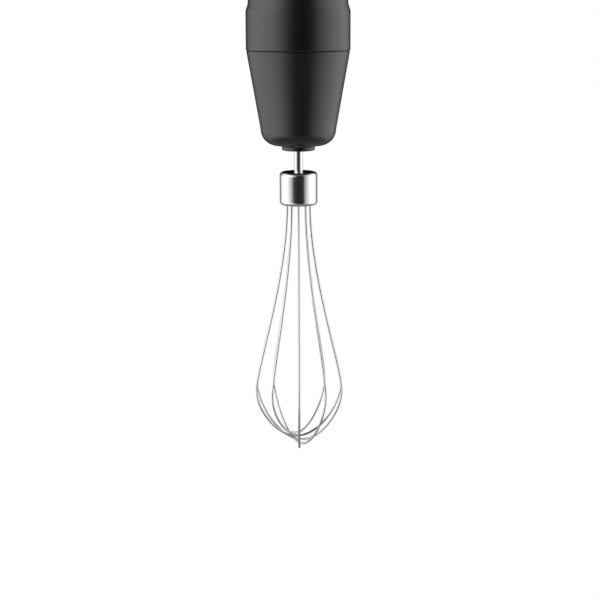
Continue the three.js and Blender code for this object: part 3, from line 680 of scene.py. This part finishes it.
class HANDBLENDER_OT_shells(Operator):
    """Builds the front and rear half of the motor unit's housing"""

    bl_idname = "handblender.shells"
    bl_label = "Housing shells"

    def execute(self, context):
        sizes = context.scene.handle_sizes
        heights = handle_heights()
        outer = [handle_ring(sizes, height, 0) for height in heights]
        inner = [handle_ring(sizes, height, sizes.wall) for height in reversed(heights)]
        whole = lofted("housing_blank", [*outer, *inner])
        front = half_shell(whole, sizes, "front_shell_moulding", -1)
        rear = half_shell(whole, sizes, "rear_shell_moulding", 1)
        bpy.data.objects.remove(whole)
        for height, radius in BUTTONS.values():
            carve(front, oval_plug("button_cut", sizes, height, radius + 0.4, 15, 30))
        for low, high in VENTS:
            carve(rear, *vent_cutters(low, high))
        for x in (-BOSS_X, BOSS_X):
            centre = (x * MM, 0, up(BOSS_HEIGHT))
            fuse(front, screw_boss(sizes, x, -1))
            fuse(rear, screw_boss(sizes, x, 1))
            well = [(0, 5 * MM), (2.7 * MM, 5 * MM), (2.7 * MM, 30 * MM), (0, 30 * MM)]
            carve(rear, turned("screw_well", well, 40, centre, (0, 1, 0), (1, 0, 0)))
            hole = [(0, -9 * MM), (1.3 * MM, -9 * MM), (1.3 * MM, 8 * MM), (0, 8 * MM)]
            for shell in (front, rear):
                carve(shell, turned("screw_hole", hole, 24, centre, (0, 1, 0), (1, 0, 0)))
        for shell, node in ((front, "front_shell"), (rear, "rear_shell")):
            smooth(shell)
            seat(shell, "motor_unit", FINISHES["black_plastic"], [node])
        return {"FINISHED"}


class HANDBLENDER_OT_cap(Operator):
    """Builds the top cap and the cord gland"""

    bl_idname = "handblender.cap"
    bl_label = "Top cap and gland"

    def execute(self, context):
        sizes = context.scene.handle_sizes
        top, joint, edge, wall = CAP_TOP, CAP_JOINT, 5.0, 2.2
        rim = sizes.head_depth / MM - 0.1
        shoulder = arc(rim - edge, top - edge, edge, 0, 90, 12)
        outer = [(rim + 0.1, joint), (rim + 0.06, joint + 3), *shoulder]
        hole, skirt_in, skirt_out = 5.8, rim - 2.3, rim - 2.4
        inner = [(hole, top), (hole, top - wall), (rim - edge - wall, top - wall)]
        skirt_end = joint - 5
        skirt = [(skirt_in, top - 6.5), (skirt_in, skirt_end), (skirt_out, skirt_end), (skirt_out, joint)]
        pinch = handle_width(sizes, joint) / handle_depth(sizes, joint)
        rings = []
        for radius, height in [*outer, *inner, *skirt]:
            width = radius if radius <= hole else radius * pinch
            rings.append((width * MM, radius * MM, up(height)))
        cap = lofted("top_cap_moulding", rings)
        soften(cap, 0.25 * MM, 2, 50)
        smooth(cap)
        seat(cap, "motor_unit", FINISHES["black_plastic"], ["top_cap"])
        bore, neck = 4.2, 5.5
        profile = [
            (bore, 163), (8, 163), (8, 165), (neck, 165), (neck, 172.4),
            *arc(neck - 0.7, 172.8, 0.7, 0, 90, 5), (bore + 0.3, 173.5), (bore, 173.2),
        ]
        gland = turned("cord_gland_ring", [(radius * MM, up(height)) for radius, height in profile], 64)
        smooth(gland)
        seat(gland, "motor_unit", FINISHES["soft_black"], ["cord_gland"])
        return {"FINISHED"}


def finger_button(sizes, name, height, radius, marks):
    """A soft button with a dished face, a hidden flange and a stem, and one or two raised dots."""
    face = handle_depth(sizes, height) / MM + 0.8
    wall = handle_depth(sizes, height) / MM - 2.2
    flange = math.sqrt(wall**2 - ((radius + 1.5) / sizes.grip_pinch) ** 2) - 0.5
    profile = [
        (0, face - 0.7), (radius * 0.35, face - 0.62), (radius * 0.62, face - 0.35),
        (radius * 0.8, face - 0.12), *arc(radius - 1.1, face - 1.1, 1.1, 80, 0, 6),
        (radius, flange), (radius + 1, flange), (radius + 1, flange - 1.2),
        (2.2, flange - 1.2), (2.2, 9.8), (0, 9.8),
    ]
    centre = (0, 0, up(height))
    button = turned(name, [(r * MM, y * MM) for r, y in profile], 64, centre, (0, -1, 0), (1, 0, 0))
    open_mesh(button)
    bpy.ops.transform.resize(value=(1, 1, sizes.button_stretch), center_override=centre)
    close_mesh()
    for index in range(marks):
        z = up(height + (index - (marks - 1) / 2) * 3.4)
        round_top = arc(0.4, face - 0.75, 0.5, 0, 90, 4)
        dot = [(0, face - 1.2), (0.9, face - 1.2), *round_top, (0, face - 0.25)]
        profile = [(r * MM, y * MM) for r, y in dot]
        fuse(button, turned("dot", profile, 20, (0, 0, z), (0, -1, 0), (1, 0, 0)))
    smooth(button)
    return button


class HANDBLENDER_OT_buttons(Operator):
    """Builds the two finger buttons"""

    bl_idname = "handblender.buttons"
    bl_label = "Finger buttons"

    def execute(self, context):
        sizes = context.scene.handle_sizes
        for marks, (name, (height, radius)) in enumerate(BUTTONS.items(), start=1):
            button = finger_button(sizes, f"{name}_button_soft", height, radius, marks)
            node = f"{name}_button"
            seat(button, node, FINISHES["soft_black"], [node])
        return {"FINISHED"}


class HANDBLENDER_OT_levers(Operator):
    """Builds the two release levers, with ribbed pads"""

    bl_idname = "handblender.levers"
    bl_label = "Release levers"

    def execute(self, context):
        sizes = context.scene.handle_sizes
        heights = [PAD_LOW + (PAD_HIGH - PAD_LOW) * i / 12 for i in range(13)]
        pad = [(handle_width(sizes, h) / MM + 0.4, h) for h in heights]
        inside = handle_width(sizes, PAD_HIGH) / MM - 3
        outline = [
            (21.8, 3.6), (23.2, 3.6), (23.2, 25.2), (23.6, PAD_LOW), *pad, (inside, PAD_HIGH),
            (22.2, 29), (21.8, 24), (21.8, 7.2), (19.6, 7.2), (19.6, 5.6),
        ]
        lever = plate("release_lever_right_blade", [(x * MM, up(h)) for x, h in outline], PAD_WIDTH * MM)
        soften(lever, 0.45 * MM, 3, 40)
        for index in range(5):
            height = PAD_LOW + 5 + index * 2.4
            x = handle_width(sizes, height) / MM + 0.3
            low = ((x - 0.8) * MM, -3 * MM, up(height - 0.45))
            rib = block("rib", low, ((x + 0.5) * MM, 3 * MM, up(height + 0.45)))
            soften(rib, 0.3 * MM, 3)
            fuse(lever, rib)
        pivot = [(0, -6.6 * MM), (1 * MM, -6.6 * MM), (1 * MM, 6.6 * MM), (0, 6.6 * MM)]
        centre = (PIVOT_X * MM, 0, up(PIVOT_HEIGHT))
        fuse(lever, turned("trunnion", pivot, 24, centre, (0, 1, 0), (1, 0, 0)))
        smooth(lever)
        twin = copied(lever, "release_lever_left_blade", 180)
        for piece, node in ((lever, "release_lever_right"), (twin, "release_lever_left")):
            seat(piece, node, FINISHES["soft_black"], [node])
        return {"FINISHED"}


def lever_slots(near, far, low, high):
    half = (PAD_WIDTH / 2) * MM + GAP
    slots = []
    for side in (-1, 1):
        x = sorted((side * near * MM, side * far * MM))
        slots.append(block("slot_cut", (x[0], -half, up(low)), (x[1], half, up(high))))
    return slots


class HANDBLENDER_OT_socket(Operator):
    """Builds the locking ring that takes the gearbox spigot"""

    bl_idname = "handblender.socket"
    bl_label = "Locking ring"

    def execute(self, context):
        profile = [(19.3, 0.85), (19.7, 0.45), (25.2, 0.45), (25.2, 14), (19.3, 14)]
        socket = turned("locking_ring_socket", [(r * MM, up(h)) for r, h in profile])
        carve(socket, *lever_slots(20.9, 26, 2.5, 15), *lever_slots(18, 21, 3, 9))
        smooth(socket)
        seat(socket, "motor_unit", FINISHES["dark_plastic"], ["locking_ring"])
        return {"FINISHED"}


# ------------------------------------------------------------------ gearbox


class HANDBLENDER_OT_gearbox(Operator):
    """Builds the conical gearbox housing and its cover with the spigot"""

    bl_idname = "handblender.gearbox"
    bl_label = "Whisk gearbox"

    def execute(self, context):
        sizes = context.scene.gearbox_sizes
        top = sizes.cone_radius / MM
        slope, corner, neck = sizes.cone_slope, sizes.corner / MM, sizes.neck_radius / MM
        foot, mouth = -41.6, -52.9
        foot_radius = top + slope * foot
        sides = [(top + slope * h, h) for h in (-1.2, -5, -10, -20, -30, -38, foot + 0.9)]
        profile = [
            (25.3, -0.15), (top - 0.25, -0.15), (top - 0.1, -0.25), (top - 0.1, -0.5), *sides,
            *arc(foot_radius - corner, foot, corner, -6, -86, 16),
            (neck + 0.7, foot - corner - 0.1), (neck, foot - corner - 0.7), (neck, mouth + 0.5),
            (neck - 0.5, mouth), (7.3, mouth), (7, mouth + 0.3), (7, -41), (8.85, -41),
            (8.85, -47.6), (13.2, -47.4), (16.4, -45),
            (17.9, foot), (20.3, -20.3),
            (top - 2 - slope * 20.3, -20.3), (top - 2 - slope * 3.6, -3.6), (25.3, -3.6),
        ]
        housing = turned("gearbox_cone", [(r * MM, up(h)) for r, h in profile], 128)
        smooth(housing, 28)
        seat(housing, "whisk_gearbox", FINISHES["black_plastic"], ["gearbox_housing"])
        spigot = sizes.spigot_radius / MM
        cover = [
            (5.3, -6), (7.3, -6), (7.3, -3.3), (17.4, -3.3), (17.4, -9.7), (18.7, -9.7),
            (18.7, -3.3), (25, -3.3), (25, -0.4), (spigot, -0.4), (spigot, 4.8),
            (spigot - 1.1, 4.8), (spigot - 1.1, 8), (spigot, 8), (spigot, 11.2),
            (spigot - 0.8, 12), (spigot - 2.6, 12), (spigot - 2.6, -0.4), (5.3, -0.4),
        ]
        lid = turned("gearbox_lid", [(r * MM, up(h)) for r, h in cover])
        for y in (-22 * MM, 22 * MM):
            for radius, low in ((2.5, -2.2), (1.3, -5)):
                well = [(0, up(low)), (radius * MM, up(low)), (radius * MM, up(1)), (0, up(1))]
                carve(lid, turned("screw_cut", well, 32, (0, y, 0)))
        smooth(lid)
        seat(lid, "whisk_gearbox", FINISHES["dark_plastic"], ["gearbox_cover"])
        return {"FINISHED"}


# ------------------------------------------------------------------ whisk


# Heights in millimetres: the collar's ends, the shaft's ends.
COLLAR_TOP, COLLAR_BOTTOM = -64.4, -82.4
SHAFT_TOP, SHAFT_BOTTOM = -31, -79


def wire_route(sizes, tip):
    """A loop's points with their handles, (before, at, after), each as (y, height)."""
    mouth, waist = sizes.wire_circle / MM, sizes.balloon_radius / MM
    side = [
        ((mouth, -68.4), (mouth, -70.4), (mouth, -76)),
        ((mouth, -78), (mouth, COLLAR_BOTTOM), (6.3, -122)),
        ((waist, -172), (waist, -185), (waist, -195.5)),
    ]
    bottom = ((13, tip), (0, tip), (-13, tip))
    back = [tuple((-y, h) for y, h in reversed(knot)) for knot in reversed(side)]
    return [*side, bottom, *back]


def wire_loop(sizes, index):
    """One loop of spring wire, from the holder round the balloon and back."""
    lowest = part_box("wire_loop_1")[0].z + sizes.wire_radius
    tip = (lowest - SEAM + index * sizes.loop_step) / MM
    route = wire_route(sizes, tip)
    deselect()
    bpy.ops.curve.primitive_bezier_curve_add(location=(0, 0, 0))
    loop = bpy.context.active_object
    loop.name = f"wire_loop_{index + 1}_steel"
    curve = loop.data
    curve.dimensions = "3D"
    spline = curve.splines[0]
    spline.bezier_points.add(len(route) - len(spline.bezier_points))
    for knot, (before, at, after) in zip(spline.bezier_points, route):
        knot.handle_left_type = knot.handle_right_type = "FREE"
        knot.handle_left = (0, before[0] * MM, up(before[1]))
        knot.co = (0, at[0] * MM, up(at[1]))
        knot.handle_right = (0, after[0] * MM, up(after[1]))
    spline.resolution_u = 28
    curve.bevel_depth = sizes.wire_radius
    curve.bevel_resolution = 4
    curve.use_fill_caps = True
    loop.rotation_euler = (0, 0, math.radians(180 * index / sizes.loops))
    pick(loop)
    bpy.ops.object.convert(target="MESH")
    loop = bpy.context.active_object
    bpy.ops.object.transform_apply(location=True, rotation=True, scale=True)
    open_mesh(loop)
    close_mesh()
    return loop


class HANDBLENDER_OT_whisk(Operator):
    """Builds the whisk's shaft, collar and wire loops"""

    bl_idname = "handblender.whisk"
    bl_label = "Whisk"

    def execute(self, context):
        sizes = context.scene.whisk_sizes
        shaft_radius = sizes.shaft_radius / MM
        shaft_profile = [
            (0, SHAFT_TOP), (shaft_radius - 0.4, SHAFT_TOP), (shaft_radius, SHAFT_TOP - 0.6),
            (shaft_radius, SHAFT_BOTTOM + 0.4), (shaft_radius - 0.4, SHAFT_BOTTOM), (0, SHAFT_BOTTOM),
        ]
        shaft = turned("whisk_shaft_steel", [(r * MM, up(h)) for r, h in shaft_profile], 48)
        smooth(shaft)
        seat(shaft, "whisk", FINISHES["polished_steel"], ["whisk_shaft"])
        outer, edge, wall = sizes.collar_radius / MM, 2.0, 0.9
        top, bottom = COLLAR_TOP, COLLAR_BOTTOM
        profile = [
            (shaft_radius + 0.3, top), *arc(outer - edge, top - edge, edge, 90, 0, 10),
            *arc(outer - edge, bottom + edge, edge, 0, -90, 10),
            (outer - edge, bottom + wall), (outer - wall, bottom + edge),
            (outer - wall, top - edge), (outer - edge, top - wall), (shaft_radius + 0.3, top - wall),
        ]
        collar = turned("whisk_collar_steel", [(r * MM, up(h)) for r, h in profile], 96)
        smooth(collar)
        seat(collar, "whisk", FINISHES["polished_steel"], ["whisk_collar"])
        for index in range(sizes.loops):
            loop = wire_loop(sizes, index)
            smooth(loop, 60)
            seat(loop, "whisk", FINISHES["wire_steel"], [f"wire_loop_{index + 1}"])
        return {"FINISHED"}


def press_spring(name):
    """Gives a spring its own copy of its mesh."""
    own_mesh(frame["nodes"][name])


class HANDBLENDER_OT_inside(Operator):
    """Gives the frame's pieces the finish of their slot, and gives the pressed springs meshes of their
    own
    """

    bl_idname = "handblender.inside"
    bl_label = "Inner pieces"

    def execute(self, context):
        for entry in frame["record"]["subparts"]:
            node = frame["nodes"][entry["node"]]
            node.data.materials.clear()
            node.data.materials.append(FINISHES[entry["material_slot"]])
        for name in BUTTONS:
            press_spring(f"{name}_button_spring")
        for side in ("left", "right"):
            name, joint = f"release_spring_{side}", f"release_{side}_press"
            press_spring(name)
        return {"FINISHED"}


# ------------------------------------------------------------------ stage


# Radiance by angle round the object, in degrees from straight in front: the strip lights at the
# level of the horizon, and the larger soft box that stands at the left above and below them.
STRIP_LIGHTS = (
    (0, 0.03), (28, 0.04), (32, 0.15), (40, 0.5), (47, 0.76), (54, 1.0), (61, 1.25), (68, 1.45),
    (78, 1.7), (95, 1.8), (112, 1.6), (124, 1.3), (132, 0.95), (140, 0.6), (150, 0.2), (158, 0.004),
)
LEFT_BOX = (
    (0, 0.03), (10, 0.05), (20, 0.4), (34, 1.1), (48, 1.8), (63, 2.15), (80, 2.2), (97, 1.8),
    (118, 1.15), (138, 0.45), (150, 0.15), (158, 0.004),
)


def studio_world(world):
    """Soft light from both sides: dark straight in front, behind and overhead."""
    world.use_nodes = True
    tree = world.node_tree
    tree.nodes.clear()
    direction = add_node(tree, "ShaderNodeTexCoord").outputs["Generated"]
    parts = add_node(tree, "ShaderNodeSeparateXYZ", inputs={"Vector": direction})
    x, y, z = (parts.outputs[name] for name in "XYZ")
    ahead = add_node(tree, "ShaderNodeMath", {"operation": "MULTIPLY"}, {0: y, 1: -1.0})
    turn = add_node(tree, "ShaderNodeMath", {"operation": "ARCTAN2"}, {0: x, 1: ahead})
    aside = add_node(tree, "ShaderNodeMath", {"operation": "ABSOLUTE"}, {0: turn})
    share = add_node(tree, "ShaderNodeMath", {"operation": "DIVIDE"}, {0: aside, 1: math.pi})
    peak = max(level for _, level in (*STRIP_LIGHTS, *LEFT_BOX))
    lights = []
    for levels in (STRIP_LIGHTS, LEFT_BOX):
        ramp = add_node(tree, "ShaderNodeValToRGB", inputs={"Fac": share})
        elements = ramp.color_ramp.elements
        while len(elements) < len(levels):
            elements.new(0.5)
        for element, (angle, level) in zip(elements, levels):
            element.position = angle / 180
            element.color = (level / peak, level / peak, level / peak, 1)
        lights.append(add_node(tree, "ShaderNodeMath", {"operation": "MULTIPLY"}, {0: ramp, 1: peak}))
    gradual = {"interpolation_type": "SMOOTHSTEP"}
    # The box is left out at the height of the left strip light.
    centred = add_node(tree, "ShaderNodeMath", {"operation": "ADD"}, {0: z, 1: 0.125})
    away = add_node(tree, "ShaderNodeMath", {"operation": "ABSOLUTE"}, {0: centred})
    off_strip = {"Value": away, "From Min": 0.04, "From Max": 0.07}
    to_left = {"Value": x, "From Min": 0.0, "From Max": -0.05}
    limits = [add_node(tree, "ShaderNodeMapRange", gradual, each) for each in (off_strip, to_left)]
    in_box = add_node(tree, "ShaderNodeMath", {"operation": "MULTIPLY"}, {0: limits[0], 1: limits[1]})
    both = {0: in_box, 2: lights[0], 3: lights[1]}
    level = add_node(tree, "ShaderNodeMix", {"data_type": "FLOAT"}, both)
    # Below the horizon the light from the sides is weaker and more even.
    below = {"Value": z, "From Min": -0.14, "From Max": -0.35}
    for operation, start, stop in (("MULTIPLY", 1.0, 0.78), ("ADD", 0.0, 0.1)):
        below.update({"To Min": start, "To Max": stop})
        change = add_node(tree, "ShaderNodeMapRange", gradual, below)
        level = add_node(tree, "ShaderNodeMath", {"operation": operation}, {0: level, 1: change})
    for start, stop, pole in ((-0.45, -0.72, 0.3), (0.45, 0.85, 0.2)):
        limits = {"Value": z, "From Min": start, "From Max": stop}
        edge = add_node(tree, "ShaderNodeMapRange", gradual, limits)
        level = add_node(tree, "ShaderNodeMix", {"data_type": "FLOAT"}, {0: edge, 2: level, 3: pole})
    seen = add_node(tree, "ShaderNodeLightPath").outputs["Is Camera Ray"]
    white = (1.0, 1.0, 1.0, 1.0)
    lit = add_node(tree, "ShaderNodeBackground", inputs={"Color": white, "Strength": level})
    plain = add_node(tree, "ShaderNodeBackground", inputs={"Color": white, "Strength": 1.0})
    mixed = add_node(tree, "ShaderNodeMixShader", inputs={0: seen, 1: lit, 2: plain})
    add_node(tree, "ShaderNodeOutputWorld", inputs={"Surface": mixed})


def floor_finish(colours):
    """Pale matt paint that meets the background to the camera, and is clear from below."""
    colour = linear(colours.floor)
    surface = {"Roughness": 0.9, "Emission Color": (1.0, 1.0, 1.0, 1.0)}
    material, tree, shader, place = start_finish("matt_floor", **surface)
    grained(tree, shader, place, 60 * MM, tints=(shaded(colour, 0.7), shaded(colour, 0.72)))
    seen = add_node(tree, "ShaderNodeLightPath").outputs["Is Camera Ray"]
    glow = add_node(tree, "ShaderNodeMath", {"operation": "MULTIPLY"}, {0: seen, 1: 0.69})
    tree.links.new(glow.outputs[0], shader.inputs["Emission Strength"])
    below = add_node(tree, "ShaderNodeNewGeometry").outputs["Backfacing"]
    clear = add_node(tree, "ShaderNodeBsdfTransparent")
    mixed = add_node(tree, "ShaderNodeMixShader", inputs={0: below, 1: shader, 2: clear})
    output = next(node for node in tree.nodes if node.type == "OUTPUT_MATERIAL")
    tree.links.new(mixed.outputs[0], output.inputs["Surface"])
    return material


FLOOR_HEIGHT, FLOOR_RADIUS = -400, 0.25  # below the reach of the pulled whisk; millimetres, metres
LOOK_DOWN, LEAN = 11.7, 0.17  # the camera's angles, in degrees
LENS, SENSOR = 84.3, 36  # in millimetres


class HANDBLENDER_OT_stage(Operator):
    """Sets the floor, the studio light and the camera"""

    bl_idname = "handblender.stage"
    bl_label = "Stage"

    def execute(self, context):
        scene = context.scene
        deselect()
        round_floor = {"vertices": 96, "radius": FLOOR_RADIUS, "fill_type": "NGON"}
        bpy.ops.mesh.primitive_circle_add(location=(0, 0, 0), **round_floor)
        floor = context.active_object
        floor.name = "studio_floor"
        open_mesh(floor)
        bpy.ops.transform.translate(value=(0, 0, up(FLOOR_HEIGHT)))
        bpy.ops.object.mode_set(mode="OBJECT")
        floor.data.materials.append(floor_finish(scene.finish_colours))
        world = bpy.data.worlds.new("studio_light")
        scene.world = world
        studio_world(world)
        scene.view_settings.view_transform = "Standard"
        deselect()
        bpy.ops.object.camera_add(location=(1.05 * MM, -757 * MM, up(21.5)), rotation=(0, 0, 0))
        camera = context.active_object
        camera.rotation_euler = (math.radians(90 - LOOK_DOWN), math.radians(LEAN), 0)
        camera.data.lens = LENS
        camera.data.sensor_width = SENSOR
        camera.data.clip_start = 10 * MM
        scene.camera = camera
        return {"FINISHED"}


class HANDBLENDER_PT_panel(Panel):
    """Lists the steps that build the blender"""

    bl_idname = "HANDBLENDER_PT_panel"
    bl_label = "Immersion Blender"
    bl_space_type = "VIEW_3D"
    bl_region_type = "UI"
    bl_category = "Immersion Blender"

    def draw(self, context):
        for step in STEPS:
            self.layout.operator(step.bl_idname)


SETTINGS = {
    "handle_sizes": HandleSizes,
    "gearbox_sizes": GearboxSizes,
    "whisk_sizes": WhiskSizes,
    "finish_colours": FinishColours,
}
STEPS = (
    HANDBLENDER_OT_stage,
    HANDBLENDER_OT_inside,
    HANDBLENDER_OT_shells,
    HANDBLENDER_OT_cap,
    HANDBLENDER_OT_buttons,
    HANDBLENDER_OT_levers,
    HANDBLENDER_OT_socket,
    HANDBLENDER_OT_gearbox,
    HANDBLENDER_OT_whisk,
)
CLASSES = (*SETTINGS.values(), *STEPS, HANDBLENDER_PT_panel)


def register():
    for each in CLASSES:
        bpy.utils.register_class(each)
    for name, group in SETTINGS.items():
        setattr(bpy.types.Scene, name, PointerProperty(type=group))


def unregister():
    for name in SETTINGS:
        delattr(bpy.types.Scene, name)
    for each in reversed(CLASSES):
        bpy.utils.unregister_class(each)


def main():
    register()
    FINISHES.update(make_finishes(bpy.context.scene.finish_colours))
    for step in STEPS:
        group, name = step.bl_idname.split(".")
        getattr(getattr(bpy.ops, group), name)()


if __name__ == "__main__":
    main()
